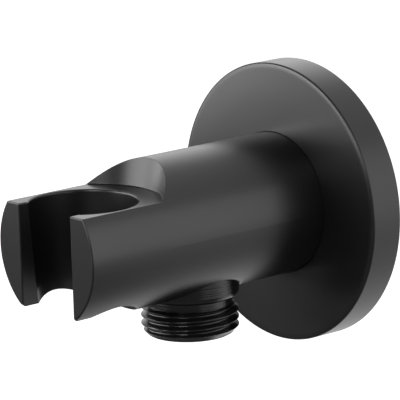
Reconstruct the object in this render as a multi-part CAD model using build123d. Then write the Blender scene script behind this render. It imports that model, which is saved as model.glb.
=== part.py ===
from build123d import *
import os
from math import radians, sqrt, tan

# Shower wall outlet with a cradle for a hand shower, all sizes in millimetres.
# The origin is on the body's axis at the face of the wall. The body stands out along -Y, and +Z is up.

# Wall flange
flange_diameter = 61.0
flange_depth = 8.0
flange_edge_round = 1.75
flange_wall = 2.2           # thickness of the flange's face and rim
flange_hub_wall = 3.2       # thickness of the hub around the body
flange_hub_length = 5.2     # from the face's front towards the wall
flange_clearance = 0.1      # radial play between hub and body
flange_hole_chamfer = 0.25  # eased mouth of the hub at the front

# Rubber ring in the hub
o_ring_section = 2.1
o_ring_squeeze = 0.3        # flattened by this much between groove and body
o_ring_play = 0.02          # play left around the ring in its groove
o_ring_depth = 3.1          # from the flange's front to the middle of the ring

# Body
body_diameter = 30.9
body_projection = 71.2      # from the wall to the front end
body_setback = 4.0          # the body's back end stands this far off the wall
body_back_chamfer = 0.5
edge_round = 0.3            # eased edges all round the front end

# Hand-shower cradle: socket, ledge, relief and slot share one upright axis
cradle_reach = 61.0         # from the wall to the socket's axis
ledge_height = 9.15         # above the body's axis
ledge_round = 0.3           # eased edges of the ledge
socket_rim_radius = 11.5    # at the ledge, before its rim is rounded
socket_taper = 2.9          # degrees a side, narrowing downwards
socket_rim_round = 0.5
relief_radius = 16.5        # at the ledge
relief_flare = 13.0         # degrees a side, opening upwards
relief_foot_round = 0.25
slot_width = 16.8
slot_edge_round = 0.15      # along the slot's lower edges
tip_round = 1.35            # lower front tips of the prongs, seen from the side

# Waterway
waterway_diameter = 13.0
waterway_beyond_outlet = 6.0  # how far it runs past the outlet's axis
drill_point_angle = 118.0

# Threaded nipples, the same turned form at the inlet and at the outlet
thread_diameter = 20.955    # G1/2 major diameter
thread_pitch = 1.814
thread_depth = 1.162
thread_angle = 55.0         # degrees between the flanks
thread_lead = 0.5           # length of the slope from neck to thread
thread_end_drop = 1.43      # how far the free end's slope comes in below the crests
thread_end_chamfer = 1.6    # length of that slope
neck_depth = 1.33           # below the crests
neck_length = 0.9
collar_margin = 0.22        # how far the collar stands out past the thread
collar_ledge = 2.37         # how far the collar stands out past the shank, over the seal
shank_length = 5.0
shank_relief = 1.0          # room between the shank's end and the end of its hole
nipple_bore_diameter = 11.0
key_socket_width = 12.0     # across the flats
key_socket_depth = 6.0
nipple_clearance = 0.05     # radial play of collar and shank in the body

outlet_reach = 33.2         # from the wall to the outlet's axis
outlet_seat_depth = 6.45    # from the body's underside up to the seal's seat
outlet_collar_length = 6.1
outlet_collar_round = 1.5
outlet_thread_length = 4.4
outlet_mouth_chamfer = 0.3  # eased edge of the outlet's hole in the body

inlet_seat_depth = 4.0      # from the body's back end to the seal's seat
inlet_collar_length = 3.5
inlet_thread_length = 12.0

# Flat seal under each collar
seal_thickness = 1.5
seal_play = 0.1             # radial play inside and outside the seal

# Sizes that follow
body_radius = body_diameter / 2
back_y = -body_setback
flange_radius = flange_diameter / 2
face_y = -flange_depth
hub_hole_radius = body_radius + flange_clearance
hub_radius = hub_hole_radius + flange_hub_wall
o_ring_height = o_ring_section - o_ring_squeeze
crest_radius = thread_diameter / 2
neck_radius = crest_radius - neck_depth
collar_radius = crest_radius + collar_margin
collar_hole_radius = collar_radius + nipple_clearance
shank_radius = collar_radius - collar_ledge
shank_hole_radius = shank_radius + nipple_clearance
shank_hole_depth = shank_length - seal_thickness + shank_relief
outlet_seat_drop = body_radius - outlet_seat_depth
ledge_half_width = sqrt(body_radius**2 - ledge_height**2)
tip_drop = sqrt(body_radius**2 - (slot_width / 2) ** 2)

cradle_plane = Plane(origin=(0, -cradle_reach, 0), x_dir=(1, 0, 0), z_dir=(0, -1, 0))
outlet_plane = Plane(origin=(0, -outlet_reach, -outlet_seat_drop), x_dir=(1, 0, 0), z_dir=(0, 0, -1))
inlet_plane = Plane(origin=(0, back_y - inlet_seat_depth, 0), x_dir=(1, 0, 0), z_dir=(0, 1, 0))


def turned(points, plane=Plane.XZ, rounds=()):
    """Turn a closed outline of (radius, height) points about the plane's own upright axis."""
    outline = make_face(Polyline(*points, close=True))
    for index, radius in rounds:
        corner = outline.vertices().sort_by_distance((points[index][0], points[index][1], 0))[0]
        outline = fillet(corner, radius)
    return plane * revolve(outline, Axis.Y)


def upright(plane):
    """The plane in which an outline is drawn when it is turned about that plane's normal."""
    return Plane(origin=plane.origin, x_dir=plane.x_dir, z_dir=-plane.y_dir)


def make_cradle_cutter():
    """Socket, ledge and relief of the cradle as one shape, turned about the upright axis."""
    below = -2 * body_radius
    above = 2 * body_radius
    socket_low_radius = socket_rim_radius + (below - ledge_height) * tan(radians(socket_taper))
    relief_high_radius = relief_radius + (above - ledge_height) * tan(radians(relief_flare))
    outline = [
        (0, below),
        (socket_low_radius, below),
        (socket_rim_radius, ledge_height),
        (relief_radius, ledge_height),
        (relief_high_radius, above),
        (0, above),
    ]
    return turned(outline, cradle_plane, rounds=[(2, socket_rim_round), (3, relief_foot_round)])


def ledge_section():
    """The body's round section, cut off flat at the ledge."""
    cap = Pos(0, ledge_height + body_radius) * Rectangle(body_diameter, body_diameter)
    return Circle(body_radius) - cap


def rounded(section, corners):
    """Round corners of a flat section, given as a point near each corner and its radius."""
    for point, radius in corners:
        section = fillet(section.vertices().sort_by_distance(point)[0], radius)
    return section


def make_prong(side):
    """One prong beside the slot, its section's corners rounded and its front end eased all round."""
    half_slot = slot_width / 2
    beside = Pos(side * (half_slot + body_radius), 0) * Rectangle(body_diameter, 2 * body_diameter)
    section = rounded(
        (ledge_section() & beside).face(),
        [((side * ledge_half_width, ledge_height), ledge_round),
         ((side * half_slot, ledge_height), ledge_round),
         ((side * half_slot, -tip_drop), slot_edge_round)],
    )
    prong = extrude(cradle_plane * section, body_projection - cradle_reach)
    front_loop = prong.faces().sort_by(Axis.Y)[0].edges()
    return fillet(front_loop, edge_round)


def make_tip_cutter():
    """What rounding takes off the lower front tips of both prongs, drawn from the side."""
    corner = Pos(-body_projection, -tip_drop) * Rectangle(2 * tip_round, 2 * tip_round)
    kept = Pos(-body_projection + tip_round, -tip_drop + tip_round) * Circle(tip_round)
    return extrude(Plane.YZ * (corner - kept), body_radius, both=True)


def make_seat_cutter(plane, waterway_depth):
    """Stepped hole for a nipple: collar, shank and then the waterway, cut inwards from the seal's seat."""
    mouth = 2 * body_radius
    outline = [
        (0, mouth),
        (collar_hole_radius, mouth),
        (collar_hole_radius, 0),
        (shank_hole_radius, 0),
        (shank_hole_radius, -shank_hole_depth),
        (waterway_diameter / 2, -shank_hole_depth),
        (waterway_diameter / 2, -waterway_depth),
        (0, -waterway_depth - waterway_diameter / 2 / tan(radians(drill_point_angle / 2))),
    ]
    return turned(outline, upright(plane))


def make_body():
    # The ledge's eased sides end just before the relief's wall rises out of them
    relief_start = -cradle_reach + sqrt(relief_radius**2 - ledge_half_width**2) - 2 * relief_foot_round
    bar = turned(
        [(0, back_y), (body_radius - body_back_chamfer, back_y), (body_radius, back_y - body_back_chamfer),
         (body_radius, relief_start), (0, relief_start)],
        Plane.XY,
    )
    shelf_section = rounded(
        ledge_section().face(),
        [((side * ledge_half_width, ledge_height), ledge_round) for side in (1, -1)],
    )
    shelf = extrude(cradle_plane * shelf_section, -cradle_reach - relief_start)
    body = bar + shelf + make_prong(1) + make_prong(-1) - make_cradle_cutter() - make_tip_cutter()

    inlet_depth = outlet_reach + waterway_beyond_outlet + inlet_plane.origin.Y
    body -= make_seat_cutter(outlet_plane, outlet_seat_drop)
    body -= make_seat_cutter(inlet_plane, inlet_depth)

    # The mouth's eased edge leaves most of the hole's wall, which is lowest at the body's sides
    mouth_wall = sqrt(body_radius**2 - collar_hole_radius**2) - outlet_seat_drop
    mouth = body.edges().sort_by_distance((0, -outlet_reach - collar_hole_radius, -body_radius))[0]
    return chamfer(mouth, min(outlet_mouth_chamfer, mouth_wall / 3))


def make_flange():
    hub_end = face_y + flange_hub_length
    groove_floor = body_radius + o_ring_height + 2 * o_ring_play
    groove_half = o_ring_section / 2 + o_ring_play
    groove_y = face_y + o_ring_depth
    flange = turned(
        [(hub_hole_radius, face_y), (flange_radius, face_y), (flange_radius, 0),
         (flange_radius - flange_wall, 0), (flange_radius - flange_wall, face_y + flange_wall),
         (hub_radius, face_y + flange_wall),
         (hub_radius, hub_end), (hub_hole_radius, hub_end),
         (hub_hole_radius, groove_y + groove_half), (groove_floor, groove_y + groove_half),
         (groove_floor, groove_y - groove_half), (hub_hole_radius, groove_y - groove_half)],
        Plane.XY,
        rounds=[(1, flange_edge_round)],
    )
    mouth = flange.edges().filter_by(GeomType.CIRCLE).sort_by_distance((0, face_y, hub_hole_radius))[0]
    return chamfer(mouth, flange_hole_chamfer)


def make_o_ring():
    middle_radius = body_radius + o_ring_play + o_ring_height / 2
    section = Circle(o_ring_section / 2) & Rectangle(o_ring_height, o_ring_section)
    return revolve(Pos(middle_radius, face_y + o_ring_depth) * section, Axis.Y)


def thread_outline(start, length):
    """Outline of a thread as rings at its pitch: flat crests with a V groove between each two."""
    flank = thread_depth * tan(radians(thread_angle / 2))
    crest_width = thread_pitch - 2 * flank
    points = [(crest_radius, start)]
    for turn in range(int((length - crest_width) / thread_pitch)):
        groove = start + crest_width + turn * thread_pitch
        points += [
            (crest_radius, groove),
            (crest_radius - thread_depth, groove + flank),
            (crest_radius, groove + 2 * flank),
        ]
    return points + [(crest_radius, start + length)]


def make_nipple(plane, collar_length, thread_length, collar_round=0):
    """Nipple on the seal's seat: shank inwards, then collar, neck and thread outwards, with a key socket."""
    collar_start = seal_thickness
    collar_end = collar_start + collar_length
    thread_start = collar_end + neck_length + thread_lead
    thread_end = thread_start + thread_length
    nipple_end = thread_end + thread_end_chamfer
    shank_end = collar_start - shank_length
    bore_radius = nipple_bore_diameter / 2
    rounds = [(4, min(collar_round, 0.97 * (collar_radius - neck_radius)))] if collar_round else []
    blank = turned(
        [(bore_radius, shank_end), (shank_radius, shank_end), (shank_radius, collar_start),
         (collar_radius, collar_start), (collar_radius, collar_end),
         (neck_radius, collar_end), (neck_radius, collar_end + neck_length),
         *thread_outline(thread_start, thread_length),
         (crest_radius - thread_end_drop, nipple_end), (bore_radius, nipple_end)],
        upright(plane),
        rounds,
    )
    key = extrude(RegularPolygon(key_socket_width / 2, 6, major_radius=False), key_socket_depth)
    return blank - plane * Pos(0, 0, nipple_end - key_socket_depth) * key


def make_seal(plane):
    outer = collar_hole_radius - seal_play
    inner = shank_radius + seal_play
    outline = [(inner, 0), (outer, 0), (outer, seal_thickness), (inner, seal_thickness)]
    return turned(outline, upright(plane))


parts = {
    "holder_body": make_body(),
    "wall_flange": make_flange(),
    "flange_o_ring": make_o_ring(),
    "outlet_nipple": make_nipple(
        outlet_plane, outlet_collar_length, outlet_thread_length, outlet_collar_round
    ),
    "outlet_seal": make_seal(outlet_plane),
    "inlet_nipple": make_nipple(inlet_plane, inlet_collar_length, inlet_thread_length),
    "inlet_seal": make_seal(inlet_plane),
}

os.makedirs("parts", exist_ok=True)
for name, part in parts.items():
    part.label = name
    export_step(part, f"parts/{name}.step")
    print(name, round(part.volume, 1), [round(value, 2) for value in part.bounding_box().size])
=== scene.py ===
import bpy
import numpy as np
from math import cos, pi, radians, sin
from mathutils import Matrix, Vector


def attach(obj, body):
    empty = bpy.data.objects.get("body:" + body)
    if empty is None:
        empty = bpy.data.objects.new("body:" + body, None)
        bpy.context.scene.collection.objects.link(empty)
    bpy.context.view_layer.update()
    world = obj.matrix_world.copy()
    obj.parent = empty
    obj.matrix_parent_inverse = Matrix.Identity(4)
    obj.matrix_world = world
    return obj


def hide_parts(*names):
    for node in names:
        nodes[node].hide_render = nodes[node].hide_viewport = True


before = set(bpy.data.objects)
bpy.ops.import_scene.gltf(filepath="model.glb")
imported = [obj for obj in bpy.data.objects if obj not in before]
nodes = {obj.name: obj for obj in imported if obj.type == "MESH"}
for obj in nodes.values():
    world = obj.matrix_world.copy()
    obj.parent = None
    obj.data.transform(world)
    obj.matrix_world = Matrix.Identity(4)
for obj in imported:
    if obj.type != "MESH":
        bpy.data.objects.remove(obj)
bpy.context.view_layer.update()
scene = bpy.context.scene
scene.view_settings.view_transform = "Standard"
mm = 0.001   # shapes and camera are set in millimetres, finishes and studio in metres
print("frame loaded:", ", ".join(sorted(nodes)))


# small helpers for node trees

# the Mix node repeats its socket names, so its sockets go by number
mixFactor = 0
mixFloat = {"a": 2, "b": 3, "out": 0}
mixColour = {"a": 6, "b": 7, "out": 2}


def addNode(tree, kind, place, **values):
    node = tree.nodes.new(kind)
    node.location = place
    for key, value in values.items():
        setattr(node, key, value)
    return node


def setInputs(node, **values):
    # an underscore stands for a space in a socket's name
    for label, value in values.items():
        node.inputs[label.replace("_", " ")].default_value = value


def newGroup(name, inputs, outputs):
    tree = bpy.data.node_groups.new(name, "ShaderNodeTree")
    for label, value in inputs.items():
        socket = tree.interface.new_socket(label, in_out="INPUT", socket_type="NodeSocketFloat")
        socket.default_value = value
    for label, kind in outputs.items():
        tree.interface.new_socket(label, in_out="OUTPUT", socket_type=kind)
    entry = addNode(tree, "NodeGroupInput", (-900, 0))
    result = addNode(tree, "NodeGroupOutput", (700, 0))
    return tree, entry, result


def placeGroup(tree, group, place, **values):
    node = addNode(tree, "ShaderNodeGroup", place, node_tree=group)
    setInputs(node, **values)
    return node


# shared effects, built once and used by several finishes

grainForm = {"pebbleDetail": 2.0, "cloudDetail": 4.0, "cloudRough": 0.6, "pebbleShare": 0.35}


def makeCoatGrain(own):
    # sprayed coat: a fine pebble for the height, and slow clouds plus a share of the pebble for the tone
    tree, entry, result = newGroup(
        "coatGrain",
        {"Pebble": 2600.0, "Cloud": 45.0},
        {"Tone": "NodeSocketFloat", "Height": "NodeSocketFloat"},
    )
    where = addNode(tree, "ShaderNodeTexCoord", (-900, -250))
    pebble = addNode(tree, "ShaderNodeTexNoise", (-500, 150))
    setInputs(pebble, Detail=own["pebbleDetail"])
    cloud = addNode(tree, "ShaderNodeTexNoise", (-500, -150))
    setInputs(cloud, Detail=own["cloudDetail"], Roughness=own["cloudRough"])
    speck = addNode(tree, "ShaderNodeMath", (-100, -50), operation="MULTIPLY_ADD")
    speck.inputs[1].default_value = own["pebbleShare"]
    tree.links.new(where.outputs["Object"], pebble.inputs["Vector"])
    tree.links.new(where.outputs["Object"], cloud.inputs["Vector"])
    tree.links.new(entry.outputs["Pebble"], pebble.inputs["Scale"])
    tree.links.new(entry.outputs["Cloud"], cloud.inputs["Scale"])
    tree.links.new(pebble.outputs["Fac"], speck.inputs[0])
    tree.links.new(cloud.outputs["Fac"], speck.inputs[2])
    tree.links.new(speck.outputs["Value"], result.inputs["Tone"])
    tree.links.new(pebble.outputs["Fac"], result.inputs["Height"])
    return tree


edgeForm = {"samples": 6}


def makeEdgeEase(own):
    # corners look eased by a small radius, and the mask rises where the eased normal leaves the bare one
    tree, entry, result = newGroup(
        "edgeEase",
        {"Radius": 0.0002, "Gain": 3.0},
        {"Normal": "NodeSocketVector", "Edge": "NodeSocketFloat"},
    )
    eased = addNode(tree, "ShaderNodeBevel", (-500, 100), samples=own["samples"])
    bare = addNode(tree, "ShaderNodeNewGeometry", (-500, -150))
    alike = addNode(tree, "ShaderNodeVectorMath", (-250, -50), operation="DOT_PRODUCT")
    apart = addNode(tree, "ShaderNodeMath", (0, -50), operation="SUBTRACT")
    apart.inputs[0].default_value = 1.0
    gain = addNode(tree, "ShaderNodeMath", (250, -50), operation="MULTIPLY", use_clamp=True)
    tree.links.new(entry.outputs["Radius"], eased.inputs["Radius"])
    tree.links.new(eased.outputs["Normal"], alike.inputs[0])
    tree.links.new(bare.outputs["Normal"], alike.inputs[1])
    tree.links.new(alike.outputs["Value"], apart.inputs[1])
    tree.links.new(apart.outputs["Value"], gain.inputs[0])
    tree.links.new(entry.outputs["Gain"], gain.inputs[1])
    tree.links.new(eased.outputs["Normal"], result.inputs["Normal"])
    tree.links.new(gain.outputs["Value"], result.inputs["Edge"])
    return tree


lineForm = {"detail": 3.0, "rough": 0.7, "low": 0.35, "high": 0.65}


def makeTurnLines(own):
    # lathe marks: noise that changes only along the turning axis, so every mark is a full ring
    tree, entry, result = newGroup(
        "turnLines",
        {"Along": 0.0, "Pitch": 9000.0},
        {"Line": "NodeSocketFloat", "Height": "NodeSocketFloat"},
    )
    fine = addNode(tree, "ShaderNodeTexNoise", (-400, 100), noise_dimensions="1D")
    setInputs(fine, Detail=own["detail"], Roughness=own["rough"])
    ramp = addNode(tree, "ShaderNodeMapRange", (0, -100))
    setInputs(ramp, From_Min=own["low"], From_Max=own["high"])
    tree.links.new(entry.outputs["Along"], fine.inputs["W"])
    tree.links.new(entry.outputs["Pitch"], fine.inputs["Scale"])
    tree.links.new(fine.outputs["Fac"], ramp.inputs["Value"])
    tree.links.new(ramp.outputs["Result"], result.inputs["Line"])
    tree.links.new(fine.outputs["Fac"], result.inputs["Height"])
    return tree


coatGrain = makeCoatGrain(grainForm)
edgeEase = makeEdgeEase(edgeForm)
turnLines = makeTurnLines(lineForm)
print("shared effects made")


# finishes

def makeFinish(name, look):
    # tone mixes two near blacks, edges are a little lighter, partly as wear and partly as a painted edge
    # highlight, the roughness follows the tone or the lathe marks, and the bump adds grain and lathe marks
    # to the eased normal
    material = bpy.data.materials.new(name)
    material.use_nodes = True
    tree = material.node_tree
    tree.nodes.clear()
    shader = addNode(tree, "ShaderNodeBsdfPrincipled", (500, 0))
    target = addNode(tree, "ShaderNodeOutputMaterial", (800, 0))
    setInputs(shader, Specular_IOR_Level=look["specular"])
    grain = placeGroup(tree, coatGrain, (-700, 200), Pebble=look["pebble"], Cloud=look["cloud"])
    edge = placeGroup(tree, edgeEase, (-700, -50), Radius=look["edgeRadius"], Gain=look["edgeGain"])
    tone = addNode(tree, "ShaderNodeMix", (-300, 250), data_type="RGBA")
    tone.inputs[mixColour["a"]].default_value = (*look["dark"], 1)
    tone.inputs[mixColour["b"]].default_value = (*look["light"], 1)
    # edges made lighter by the edge mask: partly wear, partly a painted edge highlight
    edgeWearAndHighlight = addNode(tree, "ShaderNodeMix", (-50, 250), data_type="RGBA")
    edgeWearAndHighlight.inputs[mixColour["b"]].default_value = (*look["edge"], 1)
    rough = addNode(tree, "ShaderNodeMapRange", (-50, 0))
    setInputs(rough, To_Min=look["rough"][0], To_Max=look["rough"][1])
    bump = addNode(tree, "ShaderNodeBump", (200, -200))
    setInputs(bump, Strength=look["bump"], Distance=look["bumpDepth"])
    tree.links.new(grain.outputs["Tone"], tone.inputs[mixFactor])
    tree.links.new(tone.outputs[mixColour["out"]], edgeWearAndHighlight.inputs[mixColour["a"]])
    tree.links.new(edge.outputs["Edge"], edgeWearAndHighlight.inputs[mixFactor])
    tree.links.new(edgeWearAndHighlight.outputs[mixColour["out"]], shader.inputs["Base Color"])
    tree.links.new(edge.outputs["Normal"], bump.inputs["Normal"])
    tree.links.new(bump.outputs["Normal"], shader.inputs["Normal"])
    tree.links.new(rough.outputs["Result"], shader.inputs["Roughness"])
    tree.links.new(shader.outputs["BSDF"], target.inputs["Surface"])
    if "turned" in look:
        where = addNode(tree, "ShaderNodeTexCoord", (-1200, -300))
        split = addNode(tree, "ShaderNodeSeparateXYZ", (-1000, -300))
        lines = placeGroup(tree, turnLines, (-700, -300), Pitch=look["linePitch"])
        both = addNode(tree, "ShaderNodeMath", (-300, -300), operation="MULTIPLY_ADD")
        both.inputs[1].default_value = look["grainShare"]
        tree.links.new(where.outputs["Object"], split.inputs["Vector"])
        tree.links.new(split.outputs[look["turned"]], lines.inputs["Along"])
        tree.links.new(grain.outputs["Height"], both.inputs[0])
        tree.links.new(lines.outputs["Height"], both.inputs[2])
        tree.links.new(lines.outputs["Line"], rough.inputs["Value"])
        tree.links.new(both.outputs["Value"], bump.inputs["Height"])
    else:
        tree.links.new(grain.outputs["Tone"], rough.inputs["Value"])
        tree.links.new(grain.outputs["Height"], bump.inputs["Height"])
    return material


# each edge colour is lighter than its tone: partly wear, partly a painted edge highlight
satinCoat = {
    "dark": (0.004, 0.004, 0.0041), "light": (0.0065, 0.0065, 0.0066), "edge": (0.03, 0.03, 0.03),
    "pebble": 2600, "cloud": 45, "edgeRadius": 0.00022, "edgeGain": 3.0,
    "rough": (0.27, 0.34), "bump": 0.06, "bumpDepth": 0.00002, "specular": 0.5,
}
glossPlate = {
    "dark": (0.004, 0.004, 0.0041), "light": (0.007, 0.007, 0.0071), "edge": (0.02, 0.02, 0.02),
    "pebble": 4000, "cloud": 90, "edgeRadius": 0.00008, "edgeGain": 2.0,
    "rough": (0.12, 0.22), "bump": 0.8, "bumpDepth": 0.00008, "specular": 0.5,
    "linePitch": 2600, "grainShare": 0.03,
}
blackRubber = {
    "dark": (0.018, 0.018, 0.018), "light": (0.030, 0.030, 0.030), "edge": (0.03, 0.03, 0.03),
    "pebble": 5000, "cloud": 200, "edgeRadius": 0.0001, "edgeGain": 1.0,
    "rough": (0.62, 0.78), "bump": 0.2, "bumpDepth": 0.00002, "specular": 0.35,
}
satinBlack = makeFinish("satinBlack", satinCoat)
outletBlack = makeFinish("outletBlack", {**glossPlate, "turned": "Z"})
inletBlack = makeFinish("inletBlack", {**glossPlate, "turned": "Y"})
sealRubber = makeFinish("sealRubber", blackRubber)

for name, material in {
    "holder_body": satinBlack,
    "flange_o_ring": sealRubber, "outlet_seal": sealRubber, "inlet_seal": sealRubber,
}.items():
    nodes[name].data.materials.clear()
    nodes[name].data.materials.append(material)
print("finishes made and given to the solids that stay")


# new pieces: closed rings of points, made into meshes

sharpAngle = 38   # degrees between faces that still shade as one surface


def ringMesh(name, points):
    # one quad between neighbouring rings and columns, wrapped round in both directions
    rows, columns = points.shape[:2]
    number = np.arange(rows * columns).reshape(rows, columns)
    right = np.roll(number, -1, 1)
    quads = np.stack([number, right, np.roll(right, -1, 0), np.roll(number, -1, 0)], 2).reshape(-1, 4)
    mesh = bpy.data.meshes.new(name)
    mesh.vertices.add(rows * columns)
    mesh.vertices.foreach_set("co", points.astype(np.float32).ravel())
    mesh.loops.add(quads.size)
    mesh.loops.foreach_set("vertex_index", quads.astype(np.int32).ravel())
    mesh.polygons.add(len(quads))
    mesh.polygons.foreach_set("loop_start", np.arange(0, quads.size, 4, dtype=np.int32))
    mesh.update(calc_edges=True)
    mesh.validate()
    mesh.polygons.foreach_set("use_smooth", np.ones(len(mesh.polygons), bool))
    mesh.set_sharp_from_angle(angle=radians(sharpAngle))
    piece = bpy.data.objects.new(name, mesh)
    scene.collection.objects.link(piece)
    return piece


def addPiece(name, points, material, node):
    piece = ringMesh(name, points)
    piece.data.materials.append(material)
    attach(piece, "root")
    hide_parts(node)
    print("piece made:", name, len(piece.data.polygons), "faces")


# threaded nipples

thread = {
    "major": 10.4775, "pitch": 1.814, "flank": 27.5,   # half-inch pipe thread, flank in degrees
    "depth": 0.6403,   # as a share of the pitch
    "crestFlat": 0.22, "rootRound": 0.25, "crestRound": 0.22,
}
nippleForm = {
    "shank": 8.3275, "collar": 10.6975, "neck": 9.1475, "endRadius": 9.0475, "bore": 5.5,   # radii
    "key": 6.0, "keyDepth": 6.0,   # key from the axis to its flats
    "shankLength": 5.0, "sealThick": 1.5, "lead": 0.5, "endSlope": 1.6,
    "shankEase": 0.3, "footEase": 0.1, "keyEase": 0.15, "endRound": 0.25,
    "neckGap": 0.1, "rimTuck": 0.02, "boreLift": 0.01,   # keep neighbouring rings apart
    "collarSteps": 13, "rimSteps": 6,
}
outletNipple = {
    "node": "outlet_nipple", "seat": (0, -33.2, -9.0), "across": (1, 0, 0), "axis": (0, 0, -1),
    "collarLength": 5.4, "collarRound": 1.5, "neckLength": 1.6, "threadLength": 4.4,
    "crestAt": 8.5, "crestAngle": 40.4, "columns": 240, "rowStep": 0.03,
}
inletNipple = {
    "node": "inlet_nipple", "seat": (0, -8.0, 0), "across": (1, 0, 0), "axis": (0, 1, 0),
    "collarLength": 3.5, "collarRound": 0.2, "neckLength": 0.9, "threadLength": 12.0,
    "crestAt": 6.0, "crestAngle": 0.0, "columns": 216, "rowStep": 0.045,
}


def softMax(a, b, width):
    # half of the sum plus the gap between a and b, with the gap rounded off below the width
    return 0.5 * (a + b + np.sqrt((a - b) ** 2 + width ** 2))


def threadRadius(along):
    # distance along the axis from the nearest crest gives the radius: a flat crest, then a straight flank
    # down to the root, with both corners rounded by a smooth maximum and minimum
    slope = 1 / np.tan(radians(thread["flank"]))
    away = np.abs((along + 0.5) % 1.0 - 0.5) * thread["pitch"]
    flankLine = thread["major"] - (away - thread["crestFlat"] / 2) * slope
    root = thread["major"] - thread["depth"] * thread["pitch"]
    lower = softMax(flankLine, root, thread["rootRound"])
    crest = -softMax(-lower, -thread["major"], thread["crestRound"])
    top = thread["crestFlat"] / 2 * slope   # how far the bare flanks would rise over the crest
    return crest + softMax(-top, 0, thread["crestRound"])   # rounded crests still reach the major radius


def nippleSurface(form, own):
    # rings of (radius, height) up the outside and back down the bore, closed both ways;
    # the thread is the smaller of the blank's outline and a right-hand helix of crests
    phi = np.linspace(0, 2 * pi, own["columns"], endpoint=False)
    low = form["sealThick"] - form["shankLength"]
    collarEnd = form["sealThick"] + own["collarLength"]
    neckEnd = collarEnd + own["neckLength"]
    threadStart = neckEnd + form["lead"]
    threadEnd = threadStart + own["threadLength"]
    end = threadEnd + form["endSlope"]
    bend = np.linspace(0, pi / 2, form["collarSteps"])
    outside = np.array([
        (form["bore"], low), (form["shank"] - form["shankEase"], low),
        (form["shank"], low + form["shankEase"]), (form["shank"], form["sealThick"]),
        (form["collar"] - form["footEase"], form["sealThick"]),
        (form["collar"], form["sealThick"] + form["footEase"]),
    ])
    shoulder = np.stack([
        form["collar"] - own["collarRound"] * (1 - np.cos(bend)),
        collarEnd - own["collarRound"] * (1 - np.sin(bend)),
    ], 1)
    plain = np.concatenate([outside, shoulder, [(form["neck"], collarEnd)]])
    plainR = np.repeat(plain[:, :1], len(phi), 1)
    plainH = np.repeat(plain[:, 1:], len(phi), 1)

    height = np.arange(collarEnd + form["neckGap"], end - form["endRound"], own["rowStep"])
    blank = np.interp(
        height, [collarEnd, neckEnd, threadStart, threadEnd, end],
        [form["neck"], form["neck"], thread["major"], thread["major"], form["endRadius"]],
    )
    turn = (phi - radians(own["crestAngle"])) / (2 * pi)
    along = (height[:, None] - own["crestAt"]) / thread["pitch"] - turn[None, :]
    cutR = np.minimum(blank[:, None], threadRadius(along))
    cutH = np.repeat(height[:, None], len(phi), 1)

    rim = np.linspace(0, pi / 2, form["rimSteps"])
    rimStart = np.minimum(cutR[-1], form["endRadius"] - form["rimTuck"])
    rimR = rimStart[None, :] - form["endRound"] * (1 - np.cos(rim))[:, None]
    rimH = np.repeat((end - form["endRound"] * (1 - np.sin(rim)))[:, None], len(phi), 1)
    hexagon = form["key"] / np.cos(phi % (pi / 3) - pi / 6)
    keyFloor = end - form["keyDepth"]
    hexR = np.stack([hexagon + form["keyEase"], hexagon, hexagon])
    hexH = np.repeat(np.array([[end], [end - form["keyEase"]], [keyFloor]]), len(phi), 1)
    boreR = np.full((2, len(phi)), form["bore"])
    boreH = np.repeat(np.array([[keyFloor], [low + form["boreLift"]]]), len(phi), 1)

    radius = np.concatenate([plainR, cutR, rimR, hexR, boreR])
    level = np.concatenate([plainH, cutH, rimH, hexH, boreH])
    axis = np.array(own["axis"], float)
    across = np.array(own["across"], float)
    third = np.cross(axis, across)
    points = (
        np.array(own["seat"])
        + (radius * np.cos(phi))[:, :, None] * across
        + (radius * np.sin(phi))[:, :, None] * third
        + level[:, :, None] * axis
    )
    return points * mm


for own, material in ((outletNipple, outletBlack), (inletNipple, inletBlack)):
    name = own["node"].replace("nipple", "thread_nipple")
    addPiece(name, nippleSurface(nippleForm, own), material, own["node"])


# wall flange

flangeForm = {
    "radius": 30.5, "depth": 8.0, "edge": 0.5, "backEdge": 0.2, "wall": 2.2,
    "roll": 0.12, "rollFrom": 22.0,   # the face falls back a little towards its edge
    "hole": 15.55, "hub": 18.75, "hubLength": 5.2,
    "lip": 15.48, "lipEnd": 0.4, "lipFade": 0.6, "lipEase": 0.08,   # the hole closes on the body at the face
    "groove": 17.29, "grooveAt": 3.1, "grooveHalf": 1.07,
    "faceGap": 0.05, "rimGap": 0.1,   # keep neighbouring rings apart
    "faceSteps": 12, "edgeSteps": 9, "backSteps": 5, "columns": 288,
}


def arc(centre, radius, start, stop, count):
    # points round the centre at that radius, from one angle to the other in degrees
    angle = np.radians(np.linspace(start, stop, count))
    return np.stack([centre[0] + radius * np.cos(angle), centre[1] + radius * np.sin(angle)], 1)


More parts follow.
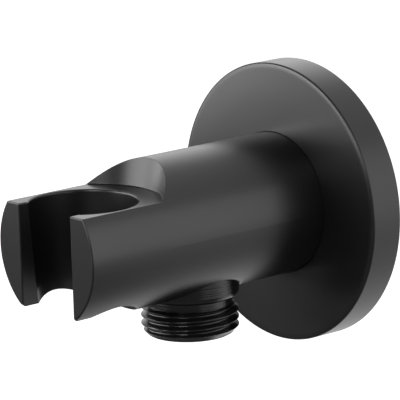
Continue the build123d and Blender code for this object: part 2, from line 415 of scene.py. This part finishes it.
def flangeSurface(own):
    # a closed outline of (radius, y) points turned about y:
    # lip, face, rounded edge, rim, hollow back, hub and groove
    rim, front, edge, back = own["radius"], -own["depth"], own["edge"], own["backEdge"]
    inner = rim - own["wall"]
    hubEnd = front + own["hubLength"]
    groove = front + own["grooveAt"]
    half = own["grooveHalf"]
    lip = [
        (own["hole"], front + own["lipFade"]), (own["lip"], front + own["lipEnd"]),
        (own["lip"], front + own["lipEase"]),
    ]
    outerFace = np.linspace(own["rollFrom"], rim - edge - own["faceGap"], own["faceSteps"])
    faceR = np.concatenate([[own["lip"] + own["lipEase"]], outerFace])
    rise = np.clip((faceR - own["rollFrom"]) / (rim - own["rollFrom"]), 0, 1)
    face = np.stack([faceR, front + own["roll"] * rise ** 2], 1)
    edgeY = front + own["roll"] + edge
    outline = np.concatenate([
        lip, face,
        arc((rim - edge, edgeY), edge, -90, 0, own["edgeSteps"]),
        [(rim, edgeY + own["rimGap"]), (rim, -back - own["rimGap"])],
        arc((rim - back, -back), back, 0, 90, own["backSteps"]),
        arc((inner + back, -back), back, 90, 180, own["backSteps"]),
        [(inner, -back - own["rimGap"]), (inner, front + own["wall"]), (own["hub"], front + own["wall"]),
         (own["hub"], hubEnd), (own["hole"], hubEnd), (own["hole"], groove + half),
         (own["groove"], groove + half), (own["groove"], groove - half), (own["hole"], groove - half)],
    ])
    turn = np.linspace(0, 2 * pi, own["columns"], endpoint=False)
    radius = outline[:, :1]
    along = np.repeat(outline[:, 1:], len(turn), 1)
    return np.stack([radius * np.sin(turn), along, radius * np.cos(turn)], 2) * mm


addPiece("turned_flange", flangeSurface(flangeForm), satinBlack, "wall_flange")


# camera

lens = {
    "azimuth": 49.699, "elevation": 12.943, "roll": -1.636, "distance": 657.53,
    "focal": 3127.09, "pixel": (162.615, 227.394), "frame": 400,   # in pixels of the square frame
    "point": (0, -40, 0), "sensor": 36, "clip": (0.01, 50),   # clip in metres
}


def towards(azimuth, elevation):
    # unit vector from the object to what stands at that angle, in degrees from the front and up
    a = radians(azimuth)
    e = radians(elevation)
    return Vector((sin(a) * cos(e), -cos(a) * cos(e), sin(e)))


def makeCamera(own):
    # the point shows at that pixel of the frame, from that angle and distance
    back = towards(own["azimuth"], own["elevation"])
    a = radians(own["azimuth"])
    r = radians(own["roll"])
    level = Vector((cos(a), sin(a), 0))
    above = back.cross(level)
    right = cos(r) * level + sin(r) * above
    up = cos(r) * above - sin(r) * level
    shiftX = (own["pixel"][0] - own["frame"] / 2) * own["distance"] / own["focal"]
    shiftY = -(own["pixel"][1] - own["frame"] / 2) * own["distance"] / own["focal"]
    place = Vector(own["point"]) - (shiftX * right + shiftY * up - own["distance"] * back)
    data = bpy.data.cameras.new("camera")
    data.sensor_width = own["sensor"]
    data.lens = own["focal"] / own["frame"] * own["sensor"]
    data.clip_start, data.clip_end = own["clip"]
    camera = bpy.data.objects.new("camera", data)
    camera.matrix_world = Matrix.Translation(place * mm) @ Matrix((right, up, back)).transposed().to_4x4()
    scene.collection.objects.link(camera)
    scene.camera = camera


makeCamera(lens)
print("camera set")


# studio: pale floor, a surround that mirrors white from the wall's side, and soft lamps

studio = {
    "floorLevel": -0.17, "floorSize": 6.0, "floorRows": 13, "floorTone": (0.80, 0.82), "floorCloud": 3.0,
    "floorLift": (0.75, 1.0), "liftFrom": 0.25, "liftTo": 0.75,
    "ambient": 0.05, "aim": (0, -0.035, 0),
    "sweep": {"facing": 8, "room": 0.13, "from": 0.0, "to": 0.6, "centre": (0, 0.05, 0)},
    "lamps": {   # angle is azimuth and elevation
        "frontLamp": {"angle": (-32, 17), "distance": 0.9, "size": (0.6, 0.6), "power": 6.6},
        "backLamp": {"angle": (107, 12), "distance": 0.9, "size": (1.0, 0.8), "power": 3.2},
        "hairLamp": {"angle": (-138, 25), "distance": 0.9, "size": (0.5, 0.5), "power": 0.7},
        "sideLamp": {"angle": (-64, 17), "distance": 0.165, "size": (0.08, 0.14), "power": 0.13},
        "edgeLamp": {"angle": (25, 30), "distance": 0.9, "size": (0.3, 0.4), "power": 3.0},
    },
}


def makeSweep(own):
    # one towards the wall's side, turned by the facing angle, falling to the room's level in front
    tree, entry, result = newGroup("sweep", {"Room": own["room"]}, {"White": "NodeSocketFloat"})
    tree.interface.new_socket("Direction", in_out="INPUT", socket_type="NodeSocketVector")
    flat = addNode(tree, "ShaderNodeVectorMath", (-650, 0), operation="MULTIPLY")
    flat.inputs[1].default_value = (1, 1, 0)
    unit = addNode(tree, "ShaderNodeVectorMath", (-450, 0), operation="NORMALIZE")
    behind = addNode(tree, "ShaderNodeVectorMath", (-250, 0), operation="DOT_PRODUCT")
    behind.inputs[1].default_value = (-sin(radians(own["facing"])), cos(radians(own["facing"])), 0)
    ramp = addNode(tree, "ShaderNodeMapRange", (0, 0), interpolation_type="SMOOTHSTEP")
    setInputs(ramp, From_Min=own["from"], From_Max=own["to"])
    tree.links.new(entry.outputs["Direction"], flat.inputs[0])
    tree.links.new(flat.outputs["Vector"], unit.inputs[0])
    tree.links.new(unit.outputs["Vector"], behind.inputs[0])
    tree.links.new(behind.outputs["Value"], ramp.inputs["Value"])
    tree.links.new(entry.outputs["Room"], ramp.inputs["To Min"])
    tree.links.new(ramp.outputs["Result"], result.inputs["White"])
    return tree


def seenWhite(tree, direction):
    # white: one for camera rays, the sweep for mirror and see-through rays, none for other rays
    # the second value: the sweep for mirror and see-through rays, one for all others; the floor's paint is
    # multiplied by it, a painted shade towards the front
    path = addNode(tree, "ShaderNodeLightPath", (-900, 0))
    mirror = addNode(tree, "ShaderNodeMath", (-650, 50), operation="MAXIMUM")
    shade = placeGroup(tree, sweep, (-650, -150))
    shaded = addNode(tree, "ShaderNodeMath", (-450, 0), operation="MULTIPLY")
    white = addNode(tree, "ShaderNodeMath", (-250, 0), operation="MAXIMUM")
    mirrorShade = addNode(tree, "ShaderNodeMix", (-250, -200))
    mirrorShade.inputs[mixFloat["a"]].default_value = 1.0
    tree.links.new(direction, shade.inputs["Direction"])
    tree.links.new(path.outputs["Is Glossy Ray"], mirror.inputs[0])
    tree.links.new(path.outputs["Is Transmission Ray"], mirror.inputs[1])
    tree.links.new(mirror.outputs["Value"], shaded.inputs[0])
    tree.links.new(shade.outputs["White"], shaded.inputs[1])
    tree.links.new(path.outputs["Is Camera Ray"], white.inputs[0])
    tree.links.new(shaded.outputs["Value"], white.inputs[1])
    tree.links.new(mirror.outputs["Value"], mirrorShade.inputs[mixFactor])
    tree.links.new(shade.outputs["White"], mirrorShade.inputs[mixFloat["b"]])
    return white.outputs["Value"], mirrorShade.outputs[mixFloat["out"]]


def makeFloorPaint(own):
    # pale paint that the lamps light, plus a white lift that grows away from the object; for mirror and
    # see-through rays the sweep darkens the paint towards the front as painted shade, and dims the lift
    # there
    material = bpy.data.materials.new("paleFloor")
    material.use_nodes = True
    tree = material.node_tree
    tree.nodes.clear()
    where = addNode(tree, "ShaderNodeTexCoord", (-900, 300))
    cloud = addNode(tree, "ShaderNodeTexNoise", (-650, 300))
    setInputs(cloud, Scale=own["floorCloud"])
    tone = addNode(tree, "ShaderNodeMapRange", (-400, 300))
    setInputs(tone, To_Min=own["floorTone"][0], To_Max=own["floorTone"][1])
    toned = addNode(tree, "ShaderNodeMath", (-250, 400), operation="MULTIPLY")
    paint = addNode(tree, "ShaderNodeBsdfDiffuse", (-100, 200))
    reach = addNode(tree, "ShaderNodeVectorMath", (-650, 100), operation="LENGTH")
    bright = addNode(tree, "ShaderNodeMapRange", (-450, 100), interpolation_type="SMOOTHSTEP")
    setInputs(bright, From_Min=own["liftFrom"], From_Max=own["liftTo"])
    setInputs(bright, To_Min=own["floorLift"][0], To_Max=own["floorLift"][1])
    lift = addNode(tree, "ShaderNodeMath", (-300, 0), operation="MULTIPLY")
    glow = addNode(tree, "ShaderNodeEmission", (-100, 0))
    apart = addNode(tree, "ShaderNodeVectorMath", (-1100, -200), operation="SUBTRACT")
    apart.inputs[1].default_value = own["sweep"]["centre"]
    both = addNode(tree, "ShaderNodeAddShader", (150, 100))
    target = addNode(tree, "ShaderNodeOutputMaterial", (350, 100))
    white, mirrorShade = seenWhite(tree, apart.outputs["Vector"])
    tree.links.new(where.outputs["Object"], apart.inputs[0])
    tree.links.new(where.outputs["Object"], cloud.inputs["Vector"])
    tree.links.new(cloud.outputs["Fac"], tone.inputs["Value"])
    # painted shade: for mirror and see-through rays the floor's paint is darkened towards the front by the
    # sweep
    tree.links.new(mirrorShade, toned.inputs[0])
    tree.links.new(tone.outputs["Result"], toned.inputs[1])
    tree.links.new(toned.outputs["Value"], paint.inputs["Color"])
    tree.links.new(where.outputs["Object"], reach.inputs[0])
    tree.links.new(reach.outputs["Value"], bright.inputs["Value"])
    tree.links.new(white, lift.inputs[0])
    tree.links.new(bright.outputs["Result"], lift.inputs[1])
    tree.links.new(lift.outputs["Value"], glow.inputs["Color"])
    tree.links.new(paint.outputs["BSDF"], both.inputs[0])
    tree.links.new(glow.outputs["Emission"], both.inputs[1])
    tree.links.new(both.outputs["Shader"], target.inputs["Surface"])
    return material


def makeFloor(own):
    # flat grid of points at one level, wide enough to fill every view
    rows = own["floorRows"]
    span = np.linspace(-own["floorSize"] / 2, own["floorSize"] / 2, rows)
    x, y = np.meshgrid(span, span)
    points = np.stack([x, y, np.full_like(x, own["floorLevel"])], 2).reshape(-1, 3)
    number = np.arange(rows * rows).reshape(rows, rows)
    quads = np.stack([number[:-1, :-1], number[:-1, 1:], number[1:, 1:], number[1:, :-1]], 2).reshape(-1, 4)
    mesh = bpy.data.meshes.new("floor")
    mesh.from_pydata(points.tolist(), [], quads.tolist())
    mesh.materials.append(makeFloorPaint(own))
    floor = bpy.data.objects.new("floor", mesh)
    scene.collection.objects.link(floor)


def makeSurround(own):
    # the ambient level lights the object, and what the camera and mirrors meet goes up to white
    world = bpy.data.worlds.new("studio")
    scene.world = world
    world.use_nodes = True
    tree = world.node_tree
    tree.nodes.clear()
    where = addNode(tree, "ShaderNodeTexCoord", (-900, -200))
    level = addNode(tree, "ShaderNodeMapRange", (0, 0))
    setInputs(level, To_Min=own["ambient"], To_Max=1.0)
    backdrop = addNode(tree, "ShaderNodeBackground", (50, 0))
    target = addNode(tree, "ShaderNodeOutputWorld", (250, 0))
    tree.links.new(seenWhite(tree, where.outputs["Generated"])[0], level.inputs["Value"])
    tree.links.new(level.outputs["Result"], backdrop.inputs["Color"])
    tree.links.new(backdrop.outputs["Background"], target.inputs["Surface"])


def makeLamp(name, own, aim):
    back = towards(*own["angle"])
    data = bpy.data.lights.new(name, "AREA")
    data.shape = "RECTANGLE"
    data.size, data.size_y = own["size"]
    data.energy = own["power"]
    lamp = bpy.data.objects.new(name, data)
    lamp.location = Vector(aim) + back * own["distance"]
    lamp.rotation_mode = "QUATERNION"
    lamp.rotation_quaternion = (-back).to_track_quat("-Z", "Y")
    lamp.visible_camera = False
    scene.collection.objects.link(lamp)


sweep = makeSweep(studio["sweep"])
makeFloor(studio)
makeSurround(studio)
for name, own in studio["lamps"].items():
    makeLamp(name, own, studio["aim"])
print("studio lit by", len(studio["lamps"]), "lamps")
